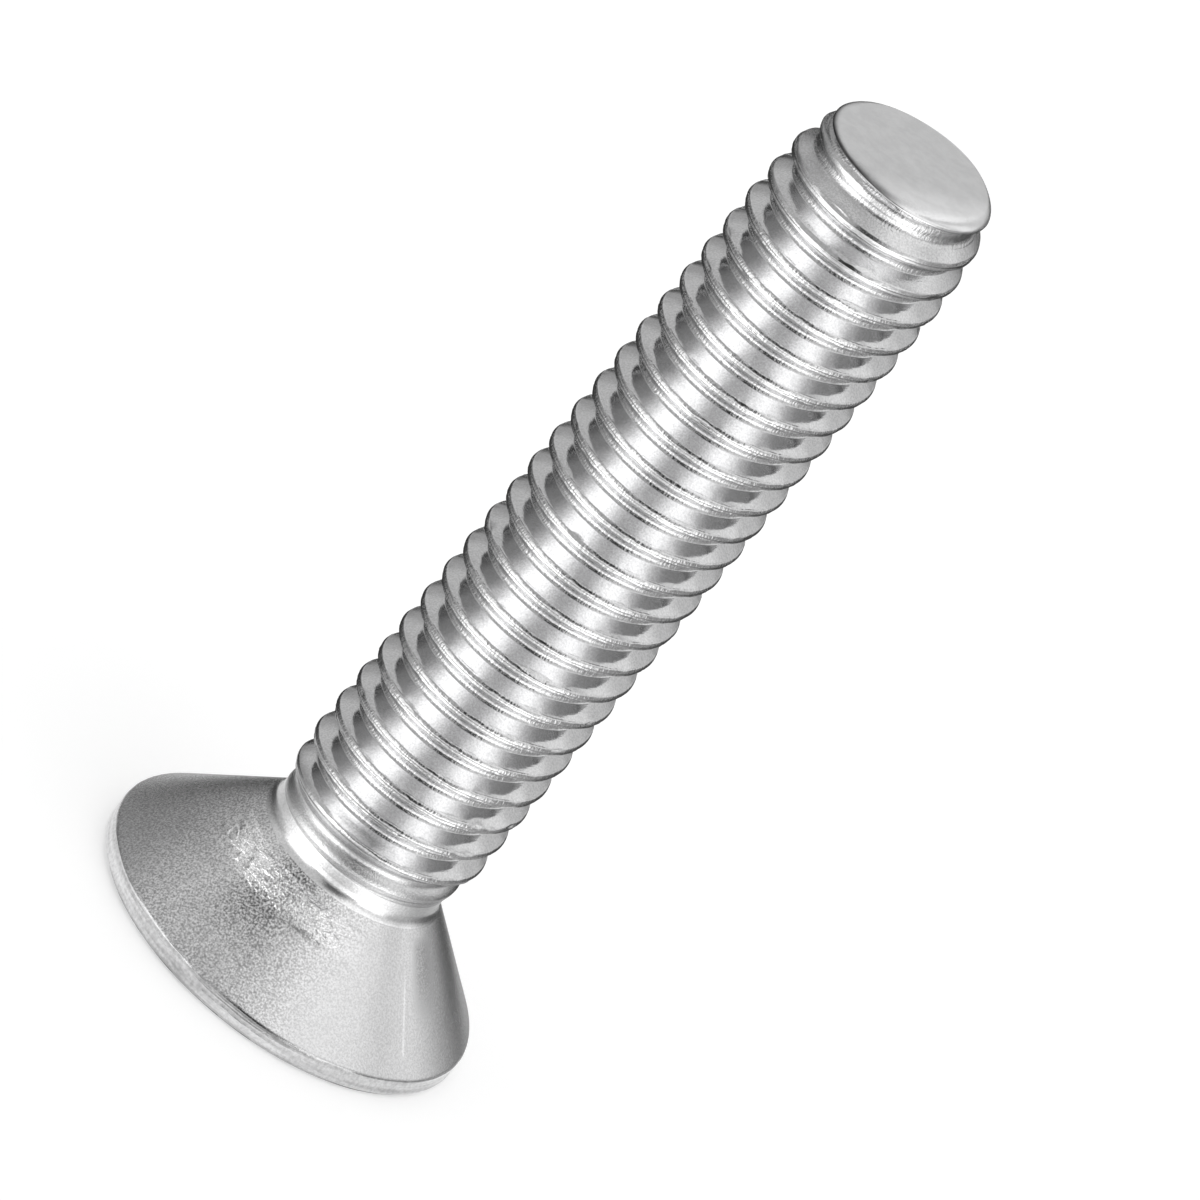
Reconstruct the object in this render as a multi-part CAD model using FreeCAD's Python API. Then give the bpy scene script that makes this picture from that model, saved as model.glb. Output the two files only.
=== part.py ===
"""Countersunk socket screw, M6 x 30, threaded up to its head.

The screw is one solid. It stands on the flat face of its head, so that face is at z = 0,
the axis is Z and the tip is at z = length. The thread is a true right-hand helix.
"""
import FreeCAD, Part
import math
import os
from FreeCAD import Vector

# Driving dimensions, in millimetres and degrees
# Nominal 30, at the low end of its tolerance
length = 29.6

# Thread, with the flanks of the 60 degree metric profile, flat crests and a narrow root
thread_d = 5.9
pitch = 1.0
flank_angle = 30.0
crest_land = 0.25 * pitch
# Height of the middle of a crest above a whole number of turns, on the +X side
crest_phase = 0.45 * pitch

# Countersunk head
head_d = 11.48
head_angle = 92.0
rim_height = 0.65
rim_bevel = 0.16

# Bare neck, at the diameter that the thread is rolled on
neck_drop = 0.3
neck_length = 0.65
neck_fillet = 0.5
# Lengths over which the first turns come to their full crest and their full depth
crest_runout = 1.3
root_runout = 1.6

# Hexagon socket
socket_width = 4.08
socket_depth = 2.5
mouth_d = 4.86
mouth_angle = 90.0
floor_angle = 160.0
dimple_d = 0.44
dimple_depth = 0.12

# Tip: a smooth pressed rim with a rounded edge, then two tapers on the crests
tip_drop = 0.45
tip_rim_height = 0.45
tip_round = 0.5
tip_round_sweep = 45.0
lead_drop = 0.09
lead_steep = 1.3
lead_gentle = 1.3
# The groove fades out below the tip, so that the end face is whole
groove_end = 0.6
groove_fade = 0.5

# Sizes worked out from the ones above
flank_height = (pitch - crest_land) / 2
crest_r = thread_d / 2
root_r = crest_r - flank_height / math.tan(math.radians(flank_angle))
head_r = head_d / 2
neck_r = crest_r - neck_drop
rim_r = crest_r - tip_drop
cone_slope = math.tan(math.radians(head_angle / 2))
cone_top = rim_height + (head_r - neck_r) / cone_slope
neck_top = cone_top + neck_length
# A piece that cuts or fills goes this far past the surface that it meets
past = 0.25

# One turn of a helix is one polynomial curve, true to a millionth of a millimetre
turn_degree = 12


def helix_turn(radius, z):
    """The poles of one right-hand turn that starts on the +X side, at height z."""
    points = []
    places = []
    for i in range(turn_degree + 1):
        # The points crowd at both ends, where a polynomial would swing most
        place = (1 - math.cos(math.pi * i / turn_degree)) / 2
        angle = 2 * math.pi * place
        point = Vector(radius * math.cos(angle), radius * math.sin(angle), z + pitch * place)
        points.append([point])
        places.append(place)
    curve = Part.BezierCurve()
    curve.interpolate(points, places)
    return curve.getPoles()


def thread_strip(lower, upper):
    """One turn of a flank or a crest: straight rulings from a lower helix to an upper one.

    Each helix is (radius, z). The weights leave the surface where it is. They space its grid
    as the rulings fan out, so that it divides into few and even triangles.
    """
    surface = Part.BezierSurface()
    surface.increase(turn_degree, 1)
    for row, (radius, z) in enumerate((lower, upper), 1):
        for column, pole in enumerate(helix_turn(radius, z), 1):
            surface.setPole(column, row, pole, crest_r / radius)
    return surface.toShape()


def turn_section(z):
    """Half section of one turn from z up: from a root over the crest to the next root."""
    return [
        (root_r, z),
        (crest_r, z + flank_height),
        (crest_r, z + pitch - flank_height),
        (root_r, z + pitch),
    ]


def rod_end(z):
    """The two faces that close a threaded rod: a winding ramp, and the step at its start."""
    axis = Part.LineSegment(Vector(0, 0, z), Vector(0, 0, z + pitch))
    helix = Part.BezierCurve()
    helix.setPoles(helix_turn(root_r, z))
    ramp = Part.makeRuledSurface(axis.toShape(), helix.toShape())
    corners = [(0, z)] + turn_section(z) + [(0, z + pitch), (0, z)]
    step = Part.Face(Part.makePolygon([Vector(radius, 0, height) for radius, height in corners]))
    return [ramp, step]


def threaded_rod(low, high):
    """A rod with a full thread over at least the heights from low to high."""
    root_start = crest_phase - pitch / 2
    start = root_start + pitch * (math.floor((low - root_start) / pitch) - 1)
    turns = math.ceil((high - start) / pitch)
    faces = []
    for turn in range(turns):
        section = turn_section(start + turn * pitch)
        for lower, upper in zip(section, section[1:]):
            faces.append(thread_strip(lower, upper))
    faces += rod_end(start)
    faces += rod_end(start + turns * pitch)
    shell = Part.makeShell(faces)
    shell.sewShape()
    rod = Part.makeSolid(shell)
    if rod.Volume < 0:
        rod.reverse()
    return rod


def turned(start, *steps):
    """A solid turned about Z from half its section, which starts at the point (radius, z).

    A step is the next point, reached by a straight line. Where it is a pair of points, an arc
    goes through the first to the second.
    """
    edges = []
    here = Vector(start[0], 0, start[1])
    for step in steps + (start,):
        if isinstance(step[0], tuple):
            through, end = [Vector(radius, 0, z) for radius, z in step]
            edges.append(Part.Arc(here, through, end).toShape())
        else:
            end = Vector(step[0], 0, step[1])
            edges.append(Part.LineSegment(here, end).toShape())
        here = end
    return Part.Face(Part.Wire(edges)).revolve(Vector(0, 0, 0), Vector(0, 0, 1), 360)


def on_line(first, second, radius):
    """The point (radius, z) where the line through two points reaches a radius."""
    share = (radius - first[0]) / (second[0] - first[0])
    return (radius, first[1] + share * (second[1] - first[1]))


def on_arc(centre, radius, degrees):
    """The point on an arc of the half section, at an angle from the direction of +X."""
    angle = math.radians(degrees)
    return (centre[0] + radius * math.cos(angle), centre[1] + radius * math.sin(angle))


def head():
    """Rim, countersunk cone and neck, with a core on which the first turns run out."""
    # Fillet from the cone to the neck
    reach = neck_fillet * math.tan(math.radians(head_angle / 4))
    bend = (neck_r + neck_fillet, cone_top + reach)
    core_top = (root_r, neck_top + root_runout)
    core_end = on_line((neck_r, neck_top), core_top, root_r - past)
    return turned(
        (0, 0),
        (head_r - rim_bevel, 0),
        (head_r, rim_bevel),
        (head_r, rim_height),
        on_arc(bend, neck_fillet, 180 + head_angle / 2),
        (on_arc(bend, neck_fillet, 180 + head_angle / 4), (neck_r, cone_top + reach)),
        (neck_r, neck_top),
        core_end,
        (0, core_end[1]),
    )


def shank_outline():
    """What the thread is trimmed to: crests that grow from the neck and taper to the tip."""
    runout_start = (neck_r, neck_top)
    runout_end = (crest_r, neck_top + crest_runout)
    runout_slope = (crest_r - neck_r) / crest_runout
    low = (neck_r - runout_slope * neck_length, cone_top)
    rim_foot = (rim_r, length - tip_rim_height)
    lead_bend = (crest_r - lead_drop, rim_foot[1] - lead_steep)
    lead_start = (crest_r, lead_bend[1] - lead_gentle)
    edge = (rim_r - tip_round, length - tip_round * math.sin(math.radians(tip_round_sweep)))
    return turned(
        (0, cone_top),
        low,
        on_line(runout_start, runout_end, crest_r + past),
        on_line(lead_bend, lead_start, crest_r + past),
        lead_bend,
        rim_foot,
        on_arc(edge, tip_round, 0),
        (on_arc(edge, tip_round, tip_round_sweep / 2), on_arc(edge, tip_round, tip_round_sweep)),
        (0, length),
    )


def groove_filler():
    """A widening plug in the last turn, on which the groove fades out below the tip."""
    foot = (root_r, length - groove_end - groove_fade)
    top = (rim_r, length - groove_end)
    slope = (rim_r - root_r) / groove_fade
    foot_inside = on_line(foot, top, root_r - past)
    above_tip = (rim_r + slope * (groove_end + past), length + past)
    return turned((0, foot_inside[1]), foot_inside, above_tip, (0, length + past))


def socket():
    """The space of the hexagon socket: its walls, chamfered mouth, sloping floor and dimple."""
    corner_r = socket_width / 2 / math.cos(math.radians(30))
    floor_slope = math.tan(math.radians(floor_angle / 2))
    floor_r = corner_r + past
    deepest = socket_depth + floor_r / floor_slope
    corners = [on_arc((0, 0), corner_r, 60 * i) for i in range(7)]
    outline = Part.makePolygon([Vector(x, y, -past) for x, y in corners])
    prism = Part.Face(outline).extrude(Vector(0, 0, deepest + 2 * past))
    floor = turned((0, -2 * past), (floor_r, -2 * past), (floor_r, socket_depth), (0, deepest))
    mouth_slope = math.tan(math.radians(mouth_angle / 2))
    mouth_apex = mouth_d / 2 / mouth_slope
    mouth_past = mouth_d / 2 + past * mouth_slope
    mouth = turned((0, -past), (mouth_past, -past), (0, mouth_apex))
    dimple_start = deepest - dimple_d / 2 / floor_slope
    dimple = turned(
        (0, dimple_start - past),
        (dimple_d / 2, dimple_start - past),
        (dimple_d / 2, dimple_start),
        (0, deepest + dimple_depth),
    )
    return prism.common(floor).fuse([mouth, dimple])


def screw():
    rod = threaded_rod(cone_top, length + past)
    shank = rod.fuse(groove_filler()).common(shank_outline())
    return shank.fuse(head()).cut(socket())


os.makedirs("parts", exist_ok=True)
body = screw()
solid = body.Solids[0]
print("solids", len(body.Solids), "valid", solid.isValid(), "volume", round(solid.Volume, 2))
print("box", [round(size, 3) for size in (solid.BoundBox.XLength, solid.BoundBox.YLength, solid.BoundBox.ZLength)])
print("root", round(root_r, 4), "cone top", round(cone_top, 3), "neck top", round(neck_top, 3))
solid.exportStep("parts/screw.step")
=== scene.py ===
# %% [markdown]
# # A bright countersunk screw
#
# This lesson dresses one steel screw: a flat head with a hexagon socket, a bare neck, a rolled
# thread and a blunt tip. The solid model has the right sizes already. What it lacks is what
# light finds on the real thing: round crests with the seam that thread rolling leaves, round
# roots, edges that are not razor sharp, small nicks and a skin of fine grain.
#
# The packed model is loaded first, because all that follows is built around it. Its box is kept for the
# sizes below.

# %% Load the packed screw
import math
import bpy
import numpy as np
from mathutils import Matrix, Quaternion, Vector, noise


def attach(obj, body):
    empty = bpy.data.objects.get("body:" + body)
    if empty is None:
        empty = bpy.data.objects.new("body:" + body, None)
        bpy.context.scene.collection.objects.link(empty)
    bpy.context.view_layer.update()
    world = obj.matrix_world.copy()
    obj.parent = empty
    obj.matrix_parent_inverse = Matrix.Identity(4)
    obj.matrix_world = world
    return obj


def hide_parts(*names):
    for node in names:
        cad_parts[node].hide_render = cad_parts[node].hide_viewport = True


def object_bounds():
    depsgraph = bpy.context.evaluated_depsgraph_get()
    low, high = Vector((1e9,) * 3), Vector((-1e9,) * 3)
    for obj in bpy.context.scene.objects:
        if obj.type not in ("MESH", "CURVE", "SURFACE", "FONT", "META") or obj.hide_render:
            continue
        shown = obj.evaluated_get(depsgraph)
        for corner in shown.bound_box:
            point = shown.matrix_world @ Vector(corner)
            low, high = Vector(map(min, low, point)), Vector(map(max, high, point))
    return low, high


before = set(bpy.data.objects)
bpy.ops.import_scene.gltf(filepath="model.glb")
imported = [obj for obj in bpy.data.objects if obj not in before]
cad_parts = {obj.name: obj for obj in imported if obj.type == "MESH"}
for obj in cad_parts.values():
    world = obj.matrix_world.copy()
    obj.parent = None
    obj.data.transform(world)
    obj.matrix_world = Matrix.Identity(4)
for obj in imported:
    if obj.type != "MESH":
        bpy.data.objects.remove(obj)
model_low, model_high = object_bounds()
print("packed nodes:", sorted(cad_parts))
print("packed box, m:", list(model_low), list(model_high))

# %% [markdown]
# ## Sizes
#
# Everything is thought out in millimetres, as a screw is, and turned into metres only when the
# mesh is written. The length and the head's radius are read from the packed box. The other
# sizes are the screw's own, and most surfaces follow from them by a line or an arc.

# %% Sizes of the screw, in millimetres
mm = 0.001
length = (model_high.z - model_low.z) / mm
head_r = (model_high.x - model_low.x) / 2 / mm

pitch = 1.0
crest_r = 2.95
# Rounds of the crest and of the root, on either side of a straight flank
crest_round = 0.135
root_round = 0.15
# Half the width of the narrow flat in the middle of a crest
crest_flat = 0.02
flank_angle = 60.0
# Height of a crest above a whole number of turns, on the +X side
crest_phase = 0.45

rim_bevel = 0.16
rim_height = 0.65
head_angle = 92.0
neck_r = 2.65
neck_length = 0.5
neck_fillet = 0.5
cone_top = rim_height + (head_r - neck_r) / math.tan(math.radians(head_angle / 2))
neck_top = cone_top + neck_length

socket_width = 4.08
socket_depth = 2.5
mouth_r = 2.43
# The floor slopes down to its middle, which is this much deeper than the foot of the walls
floor_tilt = 10.0
floor_drop = 0.46
dimple_r = 0.22
dimple_depth = 0.12

# The tip bulges from a throat, at the end of the last groove, to its rim
throat_r = 2.3
rim_r = 2.47
print("length", round(length, 3), "head radius", round(head_r, 3), "cone top", round(cone_top, 3))

# %% [markdown]
# ## A skin of rings
#
# The screw is almost a turned part, so its skin is a stack of rings round the axis, one above
# the other, with a band of quads between each pair. The same columns run through every ring,
# from the bottom of the socket, over the face, up the cone and the shank to the middle of the
# tip. That keeps the mesh closed, with no seams to hide. The columns are a multiple of six,
# so that each corner of the hexagon falls on a column.

# %% Rings, and the bands of faces between them
columns = 150
turn = np.arange(columns) / columns
angle = 2 * math.pi * turn
points = []
faces = []
face_finish = []
FINISHES = ["socket_steel", "face_steel", "rim_steel", "cone_steel", "neck_steel", "thread_steel",
            "tip_steel"]


def add_ring(radius, height):
    """Adds a ring of points and returns their numbers. Both sizes may vary by column."""
    first = len(points)
    radius = np.broadcast_to(radius, columns)
    height = np.broadcast_to(height, columns)
    points.extend(zip(radius * np.cos(angle), radius * np.sin(angle), height))
    return np.arange(first, first + columns)


def add_face(corners, finish):
    """Adds a face, leaving out corners that have run together."""
    kept = [c for i, c in enumerate(corners) if c != corners[i - 1]]
    if len(set(kept)) > 2:
        faces.append(kept)
        face_finish.append(FINISHES.index(finish))


def add_band(lower, upper, finish):
    """Joins one ring to the next with a quad in each column."""
    for j in range(columns):
        k = (j + 1) % columns
        add_face([lower[j], lower[k], upper[k], upper[j]], finish)


print("columns:", columns, "width of one on a crest:", round(2 * math.pi * crest_r / columns, 3), "mm")

# %% [markdown]
# ## Edges that catch light
#
# On a bright screw an edge shows as a thin line of light, because it is a tiny round that
# mirrors a wide piece of the room. A bevel modifier could make it, but the rings give finer
# control: a helper walks along the half section and turns each corner with a short arc. One
# more ring goes just before and just after the arc, so that the smooth shading of the arc
# doesn't spread over the flat beside it.

# %% A half section with rounded corners
def rounded(section, steps=4, guard=0.03):
    """Points (radius, height) along a section. Each corner is (radius, height, rounding)."""
    out = [np.array(section[0][:2])]
    for before, corner, after in zip(section, section[1:], section[2:]):
        here = np.array(corner[:2])
        back = np.array(before[:2]) - here
        on = np.array(after[:2]) - here
        back_length = np.linalg.norm(back)
        on_length = np.linalg.norm(on)
        back = back / back_length
        on = on / on_length
        half = math.acos(np.clip(back @ on, -1, 1)) / 2
        size = corner[2]
        cut = size / math.tan(half)
        if back_length > cut + 3 * guard:
            out.append(here + back * (cut + guard))
        middle = here + (back + on) / np.linalg.norm(back + on) * size / math.sin(half)
        start = here + back * cut - middle
        end = here + on * cut - middle
        sweep = math.pi - 2 * half
        for i in range(steps + 1):
            share = i / steps
            out.append(middle + (start * math.sin((1 - share) * sweep)
                                 + end * math.sin(share * sweep)) / math.sin(sweep))
        if on_length > cut + 3 * guard:
            out.append(here + on * (cut + guard))
    out.append(np.array(section[-1][:2]))
    return out


def unevenness(radius, height, grain, depth):
    """How far a ring dips inwards at each column: soft noise from 0 to depth."""
    radius = np.broadcast_to(radius, columns)
    height = np.broadcast_to(height, columns)
    places = zip(radius * np.cos(angle), radius * np.sin(angle), height)
    return depth * np.array([0.5 + 0.5 * noise.noise(Vector(p) / grain) for p in places])


print("a square corner of 0.04 mm:", len(rounded([(0, 0), (1, 0, 0.04), (1, 1)])), "points")

# %% [markdown]
# ## The hexagon socket
#
# The socket is punched into the face: six flat walls, a chamfered mouth that leaves six
# crescents, and a shallow conical floor with the dimple of the punch in its middle. Seen
# along the axis, a wall is a radius that changes with the angle, so the walls are rings too.
# The crescents end where the cone of the mouth meets the walls, which is deepest in the
# middle of each flat.

# %% Socket: dimple, floor, walls and mouth
floor_slope = math.tan(math.radians(floor_tilt))
floor_deepest = socket_depth + floor_drop
from_corner = (np.arange(columns) % (columns // 6)) / (columns // 6) * math.pi / 3
wall_r = socket_width / 2 / np.cos(from_corner - math.pi / 6)
wall_start = mouth_r - wall_r


def floor_height(radius):
    """Height of the conical floor at a radius."""
    return floor_deepest - radius * floor_slope


centre_point = len(points)
points.append((0, 0, floor_deepest + dimple_depth))
dimple = []
for share in (0.35, 0.7, 0.95, 1.1, 1.35):
    radius = dimple_r * share
    dip = dimple_depth * max(0, 1 - share ** 2) ** 0.8
    dimple.append(add_ring(radius, floor_height(radius) + dip))
for j in range(columns):
    add_face([centre_point, dimple[0][(j + 1) % columns], dimple[0][j]][::-1], "socket_steel")
rings = dimple
for share in (0.3, 0.5, 0.7, 0.85, 0.94):
    radius = wall_r * share
    rings.append(add_ring(radius, floor_height(radius) - unevenness(radius, 2.9, 0.6, 0.02)))
# A small round at the foot of the walls, and another where they meet the mouth
foot = 0.05
rings.append(add_ring(wall_r - foot, floor_height(wall_r)))
rings.append(add_ring(wall_r - foot * 0.3, floor_height(wall_r) - foot * 0.3))
rings.append(add_ring(wall_r, floor_height(wall_r) - foot))
for share in (0.75, 0.5, 0.25):
    height = wall_start + (floor_height(wall_r) - wall_start) * share
    rings.append(add_ring(wall_r, height))
lip = 0.025
rings.append(add_ring(wall_r, wall_start + 2.5 * lip))
rings.append(add_ring(wall_r, wall_start + lip))
rings.append(add_ring(wall_r + 0.3 * lip, wall_start))
for share in (0.85, 0.5, 0.15):
    rings.append(add_ring(mouth_r + (wall_r - mouth_r) * share, wall_start * share))
for lower, upper in zip(rings, rings[1:]):
    add_band(lower, upper, "socket_steel")
socket_edge = rings[-1]
print("socket rings:", len(rings), "corner radius:", round(float(wall_r.max()), 3), "mm")

# %% [markdown]
# ## Face, rim and countersunk cone
#
# From the socket's mouth the section runs out over the flat face, round a small bevel, up the
# short rim, along the 46 degree slope of the cone, and through a fillet into the neck. It is
# one section with rounded corners. The cone of a forged head isn't perfectly true, and that
# gives its reflections their soft drift, so its rings dip in by about a hundredth of a
# millimetre.

# %% Face, rim, cone and neck
edge_round = 0.04
rim_round = 0.2
head_section = [
    (mouth_r + 0.02, 0),
    (head_r - rim_bevel, 0, edge_round),
    (head_r, rim_bevel, edge_round),
    (head_r, rim_height, rim_round),
    (neck_r, cone_top, neck_fillet),
    (neck_r, neck_top),
]
head_steps = rounded(head_section, steps=5)


def spread(steps, longest):
    """Adds points so that no two neighbours along a section are further apart than longest."""
    out = [steps[0]]
    for here, there in zip(steps, steps[1:]):
        count = max(1, math.ceil(np.linalg.norm(there - here) / longest))
        out += [here + (there - here) * i / count for i in range(1, count + 1)]
    return out


longest_step = 0.45
# Where the face, the rim and the cone end on the way up
face_end = 0.01
rim_end = rim_height + 0.02
cone_end = cone_top - 0.1
before = socket_edge
for radius, height in spread(head_steps, longest_step):
    if height < face_end:
        dip = unevenness(radius, height, 1.4, 0.003)
        ring = add_ring(radius, height + dip)
        finish = "face_steel"
    elif height < rim_end:
        ring = add_ring(radius - unevenness(radius, height, 0.5, 0.02), height)
        finish = "rim_steel"
    elif height < cone_end:
        dip = unevenness(radius, height, 1.1, 0.012) + unevenness(radius, height, 0.4, 0.004)
        ring = add_ring(radius - dip, height)
        finish = "cone_steel"
    else:
        ring = add_ring(radius, height)
        finish = "neck_steel"
    add_band(before, ring, finish)
    before = ring
neck_ring = before
print("points so far:", len(points))

# %% [markdown]
# ## The rolled thread
#
# A thread could be a profile swept along a helix, but then its start, its end and the join
# with the neck need cutting and welding. Here the shank keeps its columns, and the rows climb
# with the helix instead: in each column the rows sit a little higher than in the one before,
# and after a full turn they have risen by one pitch. Each row then follows one line of the
# thread from end to end, such as the top of the crest, and the edges stay crisp.
#
# The radius of a row comes from the profile of a rolled thread: a round crest, straight flanks
# at the 60 degree angle of a metric thread, and a round root. Its points are worked out from
# the two rounds. At both ends of the shank the profile shrinks between two lines: the outline
# that the crests reach, which grows from the neck and tapers to the tip, and the core that the
# roots lie on.

# %% Profile of the thread
# Each point is a distance from the middle of the crest, along the axis, and the radius there
steep = math.radians(flank_angle)
crest_middle = [(0.0, crest_r), (crest_flat, crest_r)]
crest_arc = [(crest_flat + crest_round * math.sin(a), crest_r - crest_round * (1 - math.cos(a)))
             for a in (math.radians(degrees) for degrees in (13, 29, 45, flank_angle))]
flank_end = pitch / 2 - root_round * math.sin(steep)
flank_start, flank_top = crest_arc[-1]
flank_foot = flank_top - (flank_end - flank_start) * math.tan(steep)
root_r = flank_foot - root_round * (1 - math.cos(steep))
flank = [(flank_start + (flank_end - flank_start) * share, flank_top + (flank_foot - flank_top) * share)
         for share in (0.33, 0.67, 1.0)]
root_arc = [(pitch / 2 - root_round * math.sin(a), root_r + root_round * (1 - math.cos(a)))
            for a in (math.radians(degrees) for degrees in (40, 20))]
profile = crest_middle + crest_arc + flank + root_arc + [(pitch / 2, root_r)]
tip_start = length - 0.42
# Heights, and the radius there, of the outline that the crests reach and of the core
outline_at = [neck_top, neck_top + 1.15, length - 3.05, length - 1.75, length - 0.85, tip_start, length]
outline_is = [neck_r, crest_r, crest_r, crest_r - 0.09, crest_r - 0.25, throat_r, throat_r]
core_at = [neck_top, neck_top + 1.4, length - 1.1, length - 0.6]
core_is = [neck_r, root_r, root_r, throat_r]


def thread_radius(offset, height):
    """Radius at an axial offset from the crest, at a height."""
    radius = np.interp(np.abs(offset), [p[0] for p in profile], [p[1] for p in profile])
    share = (radius - root_r) / (crest_r - root_r)
    core = np.interp(height, core_at, core_is)
    outline = np.maximum(np.interp(height, outline_at, outline_is), core)
    return core + (outline - core) * share


for place in (0.0, 0.05, 0.2, 0.4, 0.5):
    print("offset", place, "radius", round(float(thread_radius(place, 15.0)), 3))

# %% [markdown]
# Rolled crests are never quite even. The dies push the metal up from both sides, so a crest
# has two ridges and a seam where they meet, a little below its middle. Each ridge rises,
# falls and wanders on its own along the helix, the seam opens and closes, and the upper edge
# of the root is marked too. Screws are also tumbled and boxed together, so the crests carry
# small dents. Each nick is a soft pit at a random place along the helix, pressed into the
# crest or just beside it. The random numbers start from a fixed seed, so every run gives the
# same screw.

# %% Rows of the shank, with uneven ridges and nicks
half_rows = [p[0] for p in profile[:-1]]
row_offsets = [-x for x in half_rows[:0:-1]] + half_rows + [pitch / 2]
first_turn = math.floor((neck_top - crest_phase) / pitch) - 2
last_turn = math.ceil((tip_start - crest_phase) / pitch) + 2
turns = np.arange(first_turn, last_turn)
rows_per_turn = len(row_offsets)
offsets = np.tile(row_offsets, len(turns))[:, None]
climb = np.repeat(turns, rows_per_turn)[:, None] + turn[None, :]
heights = crest_phase + pitch * (climb + offsets)
shank_r = thread_radius(np.broadcast_to(offsets, heights.shape), heights)

dice = np.random.RandomState(7)
# A value for each column of each turn, counted from the head's face, with some to spare
samples = (turns[-1] + 3) * columns


def along_helix(smooth):
    """Random noise from 0 to 1 along the helix, one value for each column of each turn."""
    raw = dice.uniform(0, 1, samples)
    kernel = np.hanning(smooth + 2)
    even = np.convolve(raw, kernel / kernel.sum(), "same")
    even = (even - even.min()) / (even.max() - even.min())
    return even[np.clip(np.rint(climb * columns).astype(int), 0, samples - 1)]


def beside_crest(distance, width):
    """A soft bump across the rows: 1 at a distance from the middle of the crest, 0 away from it."""
    return np.exp(-((offsets - distance) / width) ** 2)


# 1 where the thread has its full depth, and less where it runs out
full = np.clip((shank_r.max(axis=1) - throat_r) / (crest_r - throat_r), 0, 1)[:, None]
ridge = 0.07
ridge_width = 0.03
upper_dip = 0.014 * along_helix(1) ** 2 + 0.008 * along_helix(12)
lower_dip = 0.02 * along_helix(1) ** 2 + 0.008 * along_helix(12)
seam_dip = 0.022 + 0.016 * along_helix(3)
root_dip = 0.014 * along_helix(1)
shank_r = shank_r - full * upper_dip * beside_crest(ridge, ridge_width)
shank_r = shank_r - full * lower_dip * beside_crest(-ridge, ridge_width)
shank_r = shank_r - full * seam_dip * beside_crest(-0.045, 0.022)
shank_r = shank_r - full * root_dip * beside_crest(0.47, 0.04)
crest_edge = 0.1
wander = 0.04
upper_wander = (along_helix(2) - 0.5) * beside_crest(crest_edge, 0.05)
lower_wander = (along_helix(2) - 0.5) * beside_crest(-crest_edge, 0.05)
heights = heights + full * wander * (upper_wander + lower_wander)
nick_count = 150
for _ in range(nick_count):
    # Turns up the helix, distance from the crest, and then depth, length and width of the pit
    at = dice.uniform(4, 29)
    beside = dice.uniform(-0.14, 0.14)
    deep = dice.uniform(0.012, 0.05)
    long = dice.uniform(0.005, 0.016)
    wide = dice.uniform(0.02, 0.06)
    pit = np.exp(-((climb - at) / long) ** 2 - ((offsets - beside) / wide) ** 2)
    shank_r = shank_r - deep * pit
print("rows in one turn:", rows_per_turn, "turns:", len(turns), "nicks:", nick_count)

# %% [markdown]
# The rows that lie below the neck or above the start of the tip are folded onto the ring
# there, which leaves a clean circle to join the next band to. The band that closes a turn
# joins each row of the last column to the same row one turn further on in the first column.

# %% Faces of the shank
tip_ring = add_ring(throat_r, tip_start)
# A row that is nearer than this to a ring lies on it
snap = 0.004
number = np.zeros(heights.shape, int)
for i in range(heights.shape[0]):
    for j in range(columns):
        height = heights[i, j]
        if height < neck_top + snap:
            number[i, j] = neck_ring[j]
        elif height > tip_start - snap:
            number[i, j] = tip_ring[j]
        else:
            number[i, j] = len(points)
            radius = shank_r[i, j]
            points.append((radius * math.cos(angle[j]), radius * math.sin(angle[j]), height))

# Past the last row everything lies on the ring at the tip
above = np.tile(tip_ring, (rows_per_turn + 1, 1))
number = np.vstack([number, above])
for i in range(heights.shape[0]):
    for j in range(columns):
        k = (j + 1) % columns
        rise = rows_per_turn if k == 0 else 0
        corners = [number[i, j], number[i + rise, k], number[i + rise + 1, k], number[i + 1, j]]
        add_face(corners, "thread_steel")
print("points with the shank:", len(points), "faces:", len(faces))

# %% [markdown]
# ## The tip
#
# The end is sheared and pressed before the thread is rolled. A short rim turns over a round
# edge into a flat that is nearly, but not quite, a circle, and that isn't quite square to
# the axis. A slow wave in the radius gives that pressed outline, and soft noise in the flat
# keeps its reflection alive.

# %% Tip: rim, round edge and flat
flat_r = 2.1
wobble = 0.03 * np.sin(2 * angle + 0.6) + 0.02 * np.sin(5 * angle + 2.0)
# The cut end is highest at the back right
cut_fall = 0.22
cut_high = math.radians(28)
cut_width = 4.9
# The flat lies a little towards the back, so the round edge is wider in front
flat_shift = 0.3
# From the throat out to the rim, and over the round edge to the flat
tip_steps = [(radius, length - drop) for radius, drop in (
    (2.33, 0.4), (2.39, 0.37), (2.44, 0.33), (2.465, 0.28), (rim_r, 0.23), (2.45, 0.175), (2.415, 0.125),
    (2.365, 0.082), (2.3, 0.047), (2.23, 0.02), (2.175, 0.006), (flat_r, 0.0))]
before = tip_ring
for radius, height in tip_steps:
    share = (height - tip_start) / (length - tip_start)
    fall = cut_fall * share * (1 - np.cos(angle - cut_high)) / 2
    inner = (rim_r - radius) / (rim_r - flat_r) if share > 0.45 else 0
    radius = radius + (wobble - 0.02) * share + flat_shift * inner * np.sin(angle)
    ring = add_ring(radius, height - fall)
    add_band(before, ring, "tip_steel")
    before = ring
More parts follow.
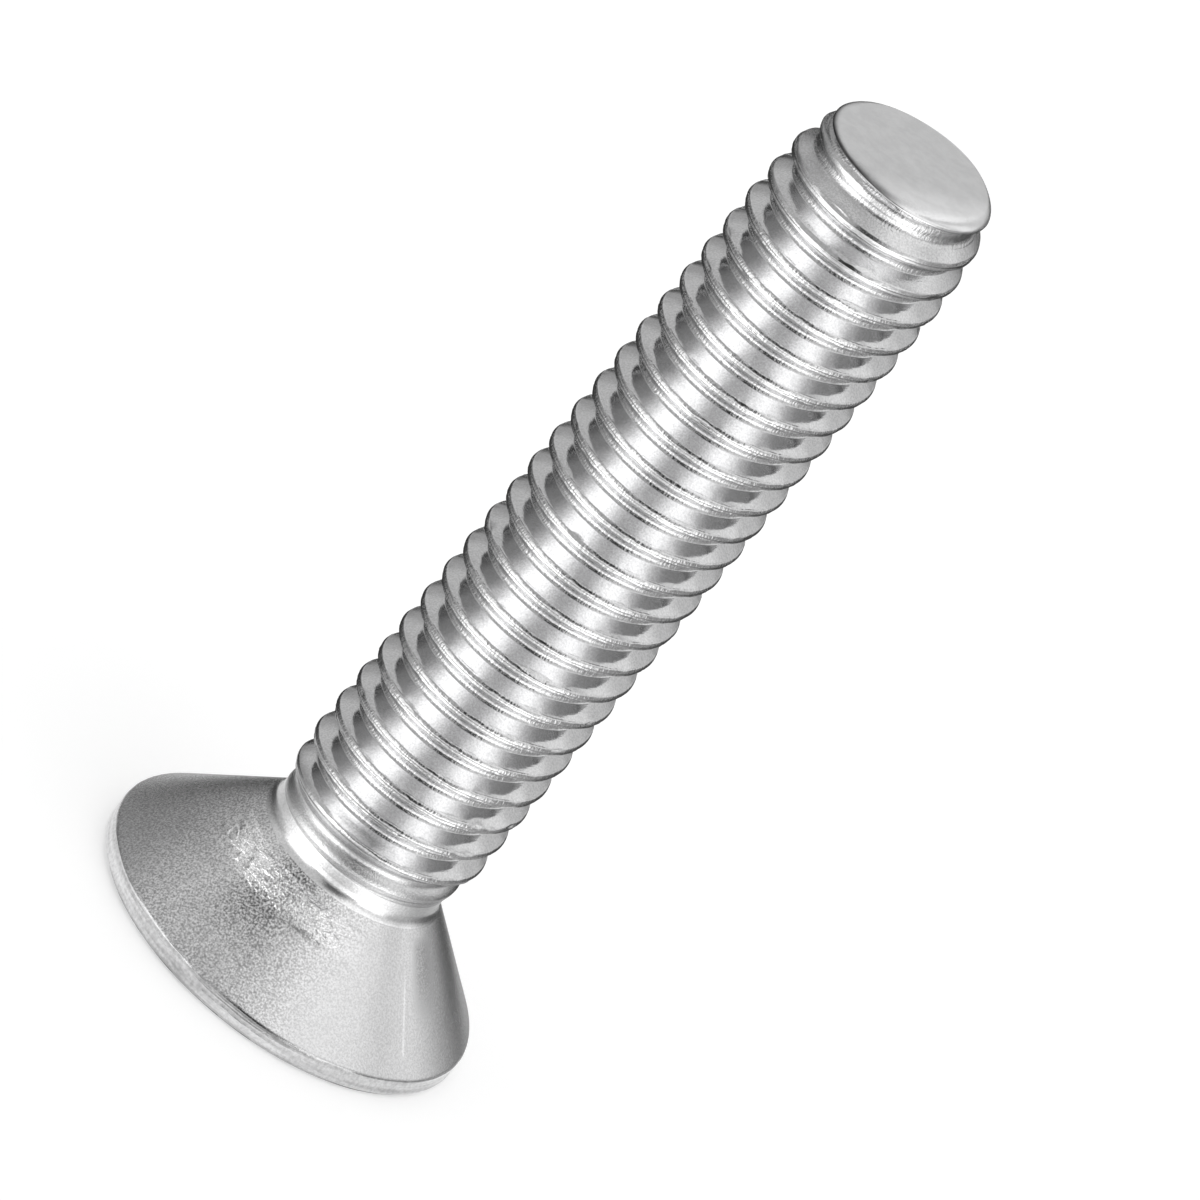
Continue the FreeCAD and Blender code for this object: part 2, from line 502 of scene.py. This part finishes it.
# The flat itself, down to a small ring round its middle
for inwards in (0.1, 0.3, 0.5, 0.75, 1.0, 1.3, 1.6, 1.9):
    radius = flat_r - 0.02 - inwards + (wobble + flat_shift * np.sin(angle)) * (1 - inwards / flat_r)
    fall = cut_fall * (1 - radius / flat_r * np.cos(angle - cut_high)) / 2
    ring = add_ring(radius, length - fall - unevenness(radius, length, 1.2, 0.02))
    add_band(before, ring, "tip_steel")
    before = ring
top_point = len(points)
points.append((0, 0, length - cut_fall / 2 - 0.01))
for j in range(columns):
    add_face([before[j], before[(j + 1) % columns], top_point], "tip_steel")
print("all points:", len(points), "triangles:", sum(len(f) - 2 for f in faces))

# %% [markdown]
# ## One closed piece
#
# The points become metres here, and the faces become one object. It rides on the screw's
# only body and stands for the packed solid, which stays in place for the physics.

# %% Make the screw's mesh
mesh = bpy.data.meshes.new("machine_screw")
mesh.from_pydata([tuple(float(x) * mm for x in p) for p in points], [], faces)
mesh.polygons.foreach_set("use_smooth", [True] * len(mesh.polygons))
mesh.polygons.foreach_set("material_index", face_finish)
mesh.validate()
mesh.update()

# Large flats decide the shading of the points that they share with narrow bands
areas = np.zeros(len(mesh.polygons))
directions = np.zeros(len(mesh.polygons) * 3)
mesh.polygons.foreach_get("area", areas)
mesh.polygons.foreach_get("normal", directions)
weighted = directions.reshape(-1, 3) * areas[:, None]
corner_counts = np.zeros(len(mesh.polygons), int)
mesh.polygons.foreach_get("loop_total", corner_counts)
corner_points = np.zeros(len(mesh.loops), int)
mesh.loops.foreach_get("vertex_index", corner_points)
shading = np.zeros((len(mesh.vertices), 3))
np.add.at(shading, corner_points, np.repeat(weighted, corner_counts, axis=0))
shading /= np.linalg.norm(shading, axis=1)[:, None]
mesh.normals_split_custom_set_from_vertices(shading.tolist())
screw = bpy.data.objects.new("machine_screw", mesh)
bpy.context.scene.collection.objects.link(screw)
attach(screw, "root")
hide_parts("screw")
print("faces in the mesh:", len(mesh.polygons))

# %% [markdown]
# ## Shader maths as Python
#
# Node graphs are easier to read as formulas. This class holds one socket of a graph, and an
# operator on it adds the Math node that does the sum. Every other node comes from its node
# method, which takes the type, the settings and what goes into the sockets.

# %% A socket with arithmetic
class Wire:
    """A socket of a node tree, or only the tree itself, on which nodes can be added."""

    def __init__(self, tree, socket=None):
        self.tree = tree
        self.socket = socket

    def node(self, kind, settings=None, sockets=None, output=0):
        made = self.tree.nodes.new(kind)
        for name, value in (settings or {}).items():
            if name == "stops":
                ramp = made.color_ramp.elements
                while len(ramp) < len(value):
                    ramp.new(0.5)
                for stop, (place, tone) in zip(ramp, value):
                    stop.position = place
                    stop.color = (tone, tone, tone, 1)
            else:
                setattr(made, name, value)
        for name, value in (sockets or {}).items():
            if isinstance(value, Wire):
                self.tree.links.new(value.socket, made.inputs[name])
            else:
                made.inputs[name].default_value = value
        return Wire(self.tree, made.outputs[output])

    def math(self, operation, *values):
        sockets = dict(enumerate(values))
        return self.node("ShaderNodeMath", {"operation": operation}, sockets)

    def __add__(self, other):
        return self.math("ADD", self, other)

    def __radd__(self, other):
        return self.math("ADD", other, self)

    def __sub__(self, other):
        return self.math("SUBTRACT", self, other)

    def __rsub__(self, other):
        return self.math("SUBTRACT", other, self)

    def __mul__(self, other):
        return self.math("MULTIPLY", self, other)

    def __rmul__(self, other):
        return self.math("MULTIPLY", other, self)

    def __truediv__(self, other):
        return self.math("DIVIDE", self, other)

    def between(self, low, high):
        """0 below low, 1 above high and a smooth step from one to the other."""
        settings = {"interpolation_type": "SMOOTHSTEP"}
        sockets = {"Value": self, "From Min": low, "From Max": high}
        return self.node("ShaderNodeMapRange", settings, sockets)


print("a wire can:", [name for name in vars(Wire) if not name.startswith("_")], "and do sums")

# %% [markdown]
# ## Bright steel
#
# Every surface is the same steel, but each was made in its own way, and what differs is the
# skin. So one recipe makes all the finishes: a metallic shader with fine specks in its tone,
# a bump of the same grain, and a bump of fine lines. The lines run round the axis on what
# was turned or rolled. The grain is strong on the forged cone and faint on the pressed tip.
#
# What a finish is painted from comes first: where a point lies on the screw, in millimetres
# and degrees, and the noises that all the finishes share.

# %% What every finish is painted from
degrees_per_radian = 57.3


class Skin:
    """The wires that one finish is painted with. How a surface was made changes the last four."""

    def __init__(self, tree, roughness, grain, depth, lines, line_depth):
        self.graph = Wire(tree)
        place = self.graph.node("ShaderNodeTexCoord", output="Object")
        place = self.graph.node("ShaderNodeVectorMath", {"operation": "SCALE"}, {0: place, "Scale": 1 / mm})
        self.x = self.graph.node("ShaderNodeSeparateXYZ", {}, {0: place}, "X")
        self.y = self.graph.node("ShaderNodeSeparateXYZ", {}, {0: place}, "Y")
        self.z = self.graph.node("ShaderNodeSeparateXYZ", {}, {0: place}, "Z")
        self.radius = self.x.math("SQRT", self.x * self.x + self.y * self.y)
        # Degrees round the axis: 0 is the front, and they grow to the right
        self.degrees = self.x.math("ARCTAN2", self.x, 0 - self.y) * degrees_per_radian
        self.patches = self.soft_noise(place, scale=0.9, Detail=3.0)
        self.grain = self.soft_noise(place, scale=grain, Detail=3.0, Roughness=0.65)
        self.marks = self.soft_noise(self.at(self.radius * lines, self.x * 0.4, self.z * lines), Detail=2.0)
        self.height = self.grain * depth + self.marks * line_depth
        self.rough = roughness + (self.patches - 0.5) * 0.1
        self.darker = 0.0
        self.speck_share = 1.0

    def at(self, x, y, z):
        """A place for a noise, put together from three wires."""
        return self.graph.node("ShaderNodeCombineXYZ", {}, {"X": x, "Y": y, "Z": z})

    def soft_noise(self, place, scale=1.0, **sockets):
        """Soft noise from 0 to 1 at a place. The other sockets go by their own names."""
        return self.graph.node("ShaderNodeTexNoise", {}, {"Vector": place, "Scale": scale, **sockets})


print("a skin gives:", [name for name in vars(Skin) if not name.startswith("_")])

# %% [markdown]
# The cone was forged between dies, so it has the liveliest skin: rough on the left, nearly smooth on the
# right, and wrinkled under the neck, where it is also paler. A soft dark patch in front, a dark streak at
# the right and one long scratch beside it are where the real screw has them. Its far left is painted
# darker, as painted shade. Each is a mask, multiplied together from smooth steps in the direction round the
# axis and in the height.

# %% Cone: a forged skin
def forged_with_painted_shade(skin):
    """Gives the cone its wrinkles, patches and scratch, and painted shade at its far left."""
    x, z, degrees = skin.x, skin.z, skin.degrees
    left = 1 - x.between(-0.4, 2.4)
    far_left = 1 - x.between(-5.0, -2.6)
    wrinkle = skin.soft_noise(skin.at(degrees * 0.03, 0.0, z * 1.7), scale=4.5, Detail=4.0, Distortion=0.4)
    wrinkled = z.between(2.45, 2.75) * (1 - z.between(3.1, 3.3)) * (1 - degrees.between(5, 40))
    wrinkled = wrinkled * degrees.between(-72, -38) * skin.patches.between(0.22, 0.4)
    pale = degrees.between(-85, -62) * (1 - degrees.between(-40, -10)) * z.between(2.2, 2.8)
    patch = degrees.between(-34, -20) * (1 - degrees.between(-12, 2)) * z.between(1.2, 2.6)
    streak = degrees.between(61, 68) * (1 - degrees.between(71, 82)) * z.between(1.4, 2.6)
    streak = streak * skin.grain.between(0.36, 0.62) * (1 - z.between(3.1, 3.4))
    scratch = degrees.between(57.2, 57.9) * (1 - degrees.between(58.1, 58.8))
    scratch = scratch * z.between(1.0, 1.2) * (1 - z.between(2.3, 2.8))
    skin.height = skin.height * (0.3 + left * 0.7) + wrinkle * wrinkled * 0.17
    skin.rough = skin.rough - wrinkled * 0.1
    skin.darker = patch * 0.18 + streak * 0.32 - wrinkled * 0.22 - scratch * 0.16
    # Painted shade: the far left of the cone is painted darker
    skin.darker = skin.darker + far_left * 0.13 - pale * 0.1
    skin.speck_share = 0.26 + left * 0.66 - (1 - x.between(-5.0, -3.0)) * 0.4 + patch * 0.5


print("the cone is painted from", rim_height, "to", round(cone_top, 2), "mm")

# %% [markdown]
# The thread was rolled between hardened dies, which leaves its flanks almost polished. Its
# crests and roots carry fine marks, and its first and last turns are duller, because the dies
# press less there. Which part of the thread a point is on follows from its radius.

# %% Thread: polished flanks, marked crests and roots
def rolled(skin):
    """Marks the crests and roots of the thread, and dulls its two ends."""
    crest = skin.radius.between(crest_r - 0.07, crest_r - 0.03)
    root = 1 - skin.radius.between(2.42, 2.46)
    first_turns = 1 - skin.z.between(neck_top + 0.3, neck_top + 1.0)
    last_turns = skin.z.between(length - 2.6, length - 1.6)
    ends = first_turns + last_turns * 0.4
    fine = skin.soft_noise(skin.at(skin.degrees * 0.7, skin.radius * 4.0, skin.z * 6.0), Detail=2.0)
    skin.height = skin.height + (crest + root) * fine * 0.018 + ends * skin.grain * 0.01
    skin.rough = skin.rough - crest * 0.04 + ends * 0.16
    skin.darker = crest * 0.02


print("the thread is painted between", round(root_r, 3), "and", crest_r, "mm from the axis")

# %% [markdown]
# The rim of the head was turned, which leaves light and dark streaks round it. The tip was sheared and
# pressed. Its colour carries painted light: a line of painted shade under the front left edge of its
# slanting cut, and a painted highlight that makes the front right brighter.

# %% Rim and tip
def turned(skin):
    """Streaks the rim."""
    skin.darker = (0.5 - skin.marks) * 0.9


def tip_painted_shade_and_highlight(skin):
    """Paints shade under the front left edge of the tip's cut, and a highlight at its front right."""
    across = skin.x * math.cos(cut_high) + skin.y * math.sin(cut_high)
    level = skin.z - across * (cut_fall / cut_width) - (length - cut_fall / 2)
    # Painted shade: a dark line under the front left edge of the cut, left out in front
    edge = level.between(-0.2, -0.12) * (1 - level.between(-0.1, -0.03))
    edge = edge * (1 - skin.degrees.between(-8, 15))
    # The edge line is painted shade, and the lighter front right is a painted highlight
    skin.darker = edge * 0.48 - (skin.x - skin.y).between(1.0, 2.8) * 0.2


print("the cut falls by", cut_fall, "mm in", cut_width, "mm")

# %% [markdown]
# The recipe wires a skin into a metallic shader. The tone of the steel does more than it
# seems: a lit point on one flank of the thread mirrors the flank across the groove, and each
# bounce takes away a share of the light, so the tone also sets how dark the grooves are.
#
# The numbers of a finish are its tone, its roughness, its grain and the depth of that, and how
# much its specks show. Some finishes have their own number and depth of lines.

# %% The recipe and the seven finishes
def steel(name, tone, roughness, grain, depth, specks, lines=14.0, line_depth=0.0015, made=None):
    """A steel finish. Grain and lines are in counts for each millimetre, depths in mm."""
    material = bpy.data.materials.new(name)
    material.use_nodes = True
    tree = material.node_tree
    skin = Skin(tree, roughness, grain, depth, lines, line_depth)
    if made:
        made(skin)
    speck = skin.grain.between(0.32, 0.68) - 0.5
    shade = tone - skin.darker + speck * specks * skin.speck_share + (skin.patches - 0.5) * 0.08
    channels = {"Red": shade, "Green": shade, "Blue": shade * 1.005}
    colour = skin.graph.node("ShaderNodeCombineColor", {}, channels)
    bump = skin.graph.node("ShaderNodeBump", {}, {"Height": skin.height, "Distance": mm, "Strength": 1.0})
    shader = tree.nodes["Principled BSDF"]
    shader.inputs["Metallic"].default_value = 1.0
    tree.links.new(colour.socket, shader.inputs["Base Color"])
    tree.links.new(skin.rough.socket, shader.inputs["Roughness"])
    tree.links.new(bump.socket, shader.inputs["Normal"])
    return material


# In the order of FINISHES
finishes = [
    steel("socket_steel", 0.55, 0.34, 9.0, 0.004, 0.1),
    steel("face_steel", 0.78, 0.3, 14.0, 0.003, 0.1),
    steel("rim_steel", 0.6, 0.14, 9.0, 0.006, 0.16, 6.0, 0.03, turned),
    steel("cone_steel", 0.68, 0.26, 17.0, 0.01, 0.66, made=forged_with_painted_shade),
    steel("neck_steel", 0.88, 0.22, 16.0, 0.002, 0.16),
    steel("thread_steel", 0.64, 0.1, 18.0, 0.0012, 0.12, 18.0, 0.001, rolled),
    steel("tip_steel", 0.57, 0.2, 2.2, 0.012, 0.05, 4.0, 0.001, tip_painted_shade_and_highlight),
]
for finish in finishes:
    mesh.materials.append(finish)
print("finishes:", [finish.name for finish in mesh.materials])

# %% [markdown]
# ## The studio
#
# A bright screw has hardly any colour of its own. What the eye reads as steel is the room in
# it: bright panels, and the darker gaps between them. The floor is plain and pale, and white
# to the camera but for the shadow.

# %% Floor
floor_size = 0.6
floor_mesh = bpy.data.meshes.new("studio_floor")
half = floor_size / 2
corners = [(-half, -half, 0), (half, -half, 0), (half, half, 0), (-half, half, 0)]
floor_mesh.from_pydata(corners, [], [(0, 1, 2, 3)])
floor = bpy.data.objects.new("studio_floor", floor_mesh)
bpy.context.scene.collection.objects.link(floor)
floor_paper = bpy.data.materials.new("studio_floor")
floor_paper.use_nodes = True
shader = floor_paper.node_tree.nodes["Principled BSDF"]
graph = Wire(floor_paper.node_tree)
camera_ray = graph.node("ShaderNodeLightPath", output="Is Camera Ray")
mirror_ray = graph.node("ShaderNodeLightPath", output="Is Glossy Ray")
glass_ray = graph.node("ShaderNodeLightPath", output="Is Transmission Ray")
seen = camera_ray + mirror_ray + glass_ray
shader.inputs["Base Color"].default_value = (0.8, 0.8, 0.8, 1)
shader.inputs["Roughness"].default_value = 1.0
shader.inputs["Specular IOR Level"].default_value = 0.0
shader.inputs["Emission Color"].default_value = (1, 1, 1, 1)
lift = seen * 0.36
floor_paper.node_tree.links.new(lift.socket, shader.inputs["Emission Strength"])
floor_mesh.materials.append(floor_paper)
print("floor:", floor_size, "m square")

# %% [markdown]
# A photographer lays grey and white cards round a bright thing, out of the frame. Here they
# are one flat ring, seen only in the metal, whose tone changes smoothly with the direction.
# Its two white parts, front left and front right, draw the white lights on the flanks and
# the crests. The paler grey between them is the grey band down the middle, and the dark parts
# at the sides and the back give the grooves their dark corners. Close to the head lies a
# softer sheet with tones of its own, which the rim and the neck find.

# %% Ring of cards
def direction_round(graph, x, y):
    """The direction round the screw: 0 is the back, 0.5 the front, and it grows to the right."""
    return 0.5 + x.math("ARCTAN2", x, 0 - y) * (0.5 / math.pi)


# Degrees from the front, growing to the right, and the tone there
card_tones = [
    (-180, 0.1), (-160, 0.06), (-140, 0.05), (-124, 0.08), (-112, 0.22), (-100, 0.38), (-84, 0.46),
    (-73, 0.75), (-62, 1.4), (-50, 2.5), (-38, 2.9), (-24, 2.4), (-13, 1.4), (-2, 0.88),
    (10, 0.9), (20, 1.2), (32, 2.1), (44, 2.6), (56, 2.05), (68, 1.05), (82, 0.52),
    (100, 0.42), (112, 0.3), (125, 0.14), (140, 0.08), (160, 0.08), (180, 0.1),
]
sheet_tones = [
    (-180, 0.7), (-140, 0.72), (-120, 0.6), (-100, 0.52), (-82, 0.7), (-62, 1.1), (-40, 1.3),
    (-22, 1.1), (-8, 0.55), (6, 0.48), (20, 0.62), (36, 1.2), (60, 1.15), (80, 0.7),
    (100, 0.44), (120, 0.4), (140, 0.5), (180, 0.7),
]
brightest = 3.0
# Where the sheet gives way to the cards, in millimetres from the axis
sheet_end = (10.5, 12.5)
# The ring, in metres: from just outside the head to far out, a hair above the floor
ring_inner = 0.0064
ring_outer = 0.25
ring_height = 0.0002
ring_steps = 72
ring_points = []
for reach in (ring_inner, ring_outer):
    for i in range(ring_steps):
        bearing = 2 * math.pi * i / ring_steps
        ring_points.append((reach * math.sin(bearing), -reach * math.cos(bearing), ring_height))
ring_quads = [(i, (i + 1) % ring_steps, ring_steps + (i + 1) % ring_steps, ring_steps + i)
              for i in range(ring_steps)]
sheet = bpy.data.meshes.new("ring_of_cards")
sheet.from_pydata(ring_points, [], ring_quads)
cards = bpy.data.objects.new("ring_of_cards", sheet)
bpy.context.scene.collection.objects.link(cards)
print("card tones:", len(card_tones), "sheet tones:", len(sheet_tones))

# %% [markdown]
# A colour ramp holds tones from 0 to 1, so they are divided by the brightest that is allowed,
# and the strength of the emission brings them back.

# %% Paint of the cards
paint = bpy.data.materials.new("ring_of_cards")
paint.use_nodes = True
shader = paint.node_tree.nodes["Principled BSDF"]
graph = Wire(paint.node_tree)
place = graph.node("ShaderNodeTexCoord", output="Object")
x = graph.node("ShaderNodeSeparateXYZ", {}, {0: place}, "X")
y = graph.node("ShaderNodeSeparateXYZ", {}, {0: place}, "Y")
direction = direction_round(graph, x, y)
far_tone, near_tone = [
    graph.node("ShaderNodeValToRGB", {
        "stops": [(0.5 + degrees / 360, tone / brightest) for degrees, tone in tones],
    }, {0: direction})
    for tones in (card_tones, sheet_tones)
]
near = 1 - (x.math("SQRT", x * x + y * y) / mm).between(*sheet_end)
tone = graph.node("ShaderNodeMix", {"data_type": "RGBA"}, {0: near, 6: far_tone, 7: near_tone}, 2)
paint.node_tree.links.new(tone.socket, shader.inputs["Emission Color"])
shader.inputs["Emission Strength"].default_value = brightest
shader.inputs["Base Color"].default_value = (0, 0, 0, 1)
shader.inputs["Specular IOR Level"].default_value = 0.0
sheet.materials.append(paint)
cards.visible_camera = False
cards.visible_diffuse = False
cards.visible_shadow = False
print("the sheet ends at", sheet_end[1], "mm and the ring at", ring_outer / mm, "mm")

# %% [markdown]
# The rest of the room is painted the same way, as a tent of soft cloth. It is brightest in
# two strips overhead, just left and right of the screw, and on a panel high at the front
# right. It is dark near the horizon, apart from two low lights at the sides, and darkest at
# the camera's own place, which shows as dark dashes in the middle of every rounded edge. To
# the camera it is white.
#
# Each part of the tent is a mask, made from the direction in which a ray leaves the metal.

# %% Room: directions and parts
world = bpy.data.worlds.new("studio")
bpy.context.scene.world = world
world.use_nodes = True
graph = Wire(world.node_tree)
look = graph.node("ShaderNodeTexCoord", output="Generated")
look_x = graph.node("ShaderNodeSeparateXYZ", {}, {0: look}, "X")
look_y = graph.node("ShaderNodeSeparateXYZ", {}, {0: look}, "Y")
look_z = graph.node("ShaderNodeSeparateXYZ", {}, {0: look}, "Z")
round_it = direction_round(graph, look_x, look_y)
aside = look_x.math("ABSOLUTE", round_it - 0.5) * 360
left_strip = look_x.between(-0.46, -0.35) * (1 - look_x.between(-0.22, -0.06))
right_strip = look_x.between(-0.02, 0.17) * (1 - look_x.between(0.21, 0.31))
overhead = look_y.between(-0.15, 0.06) * look_z.between(0.5, 0.8)
right_cloth = look_x.between(0.36, 0.46) * look_y.between(0.2, 0.35) * (1 - look_y.between(0.5, 0.7))
panel = look_x.between(0.0, 0.3) * (1 - look_y.between(0.0, 0.22)) * look_z.between(0.35, 0.6)
front_left = (0 - look_x).between(0.0, 0.2) * (1 - look_y.between(-0.25, 0.0))
back_left = (0 - look_x).between(0.5, 0.72) * look_y.between(-0.1, 0.4)
back_right = look_x.between(0.2, 0.7) * look_y.between(-0.1, 0.5)
back = look_y.between(0.5, 0.85) * (1 - look_x.math("ABSOLUTE", look_x).between(0.2, 0.45))
low_back = aside.between(95, 120) * (1 - look_z.between(-0.02, 0.12))
low_left = (0.5 - round_it).between(0.06, 0.09) * (1 - (0.5 - round_it).between(0.17, 0.23))
low_right = (round_it - 0.5).between(0.09, 0.12) * (1 - (round_it - 0.5).between(0.17, 0.23))
low = 1 - look_z.between(0.12, 0.4)
in_front = round_it.between(0.478, 0.49) * (1 - round_it.between(0.562, 0.575))
camera_place = in_front * look_z.between(0.14, 0.2) * (1 - look_z.between(0.6, 0.75))
print("room nodes for the parts:", len(world.node_tree.nodes))

# %% [markdown]
# The parts then lighten or darken the plain cloth, one after the other. The world is the same
# for every ray but the camera's own, so it lights the floor with what the metal mirrors.

# %% Room: tones
cloth_tone = 0.66
room = cloth_tone + left_strip * overhead * 0.5 + right_strip * overhead * 0.48 + panel * 0.46
room = room - front_left * 0.1 - back_left * 0.26 + back_right * 0.08 + right_cloth * 0.3 + back * 0.2
room = room * (1 - low * 0.45) * (1 - low_back * 0.85) + (low_left + low_right) * low * 1.3
room = room * (1 - camera_place * 0.94) + in_front * (1 - look_z.between(0.04, 0.12)) * 0.4
camera_ray = graph.node("ShaderNodeLightPath", output="Is Camera Ray")
cloth = camera_ray + (1 - camera_ray) * room
background = world.node_tree.nodes["Background"]
background.inputs["Strength"].default_value = 1.0
world.node_tree.links.new(cloth.socket, background.inputs["Color"])
print("room nodes:", len(world.node_tree.nodes))

# %% [markdown]
# One large soft lamp overhead gives the floor its faint shadow. It is left out of the metal,
# where the room already has its lights.

# %% Soft lamp
light = bpy.data.lights.new("overhead", "AREA")
light.size = 0.3
light.energy = 0.12
lamp = bpy.data.objects.new("overhead", light)
bpy.context.scene.collection.objects.link(lamp)
lamp.location = (-0.05, -0.02, 0.3)
lamp.rotation_mode = "QUATERNION"
lamp.rotation_quaternion = (Vector((0, 0, 0.012)) - lamp.location).to_track_quat("-Z", "Y")
lamp.visible_camera = False
lamp.visible_glossy = False
print("lamp:", lamp.name)

# %% [markdown]
# ## Camera
#
# The photo was taken with a long lens from about half a metre: the turns of the thread look
# a little wider apart at the tip than at the head. The camera looks down on the standing
# screw from the front, and it is rolled, so that the screw leans to the right.

# %% Camera
camera_height = 25.6
camera_roll = 39.2
camera_distance = 475 * mm
frame_width = 31.7 * mm
# Where the middle of the frame lies from a point on the axis: to the right, and downwards
middle_height = 15.79
middle_right = 0.83
middle_down = 1.69
camera_data = bpy.data.cameras.new("camera")
camera_data.lens = camera_data.sensor_width * camera_distance / frame_width
camera_data.clip_start = 0.05
camera_data.clip_end = 5.0
camera = bpy.data.objects.new("camera", camera_data)
bpy.context.scene.collection.objects.link(camera)
rise = math.radians(camera_height)
away = Vector((0, -math.cos(rise), math.sin(rise)))
upwards = Vector((0, math.sin(rise), math.cos(rise)))
target = (Vector((middle_right, 0, middle_height)) - upwards * middle_down) * mm
camera.location = target + away * camera_distance
camera.rotation_mode = "QUATERNION"
roll = Quaternion((0, 0, 1), math.radians(camera_roll))
camera.rotation_quaternion = (-away).to_track_quat("-Z", "Y") @ roll
bpy.context.scene.camera = camera
bpy.context.scene.view_settings.view_transform = "Standard"
print("camera at", [round(v, 4) for v in camera.location])

# %% [markdown]
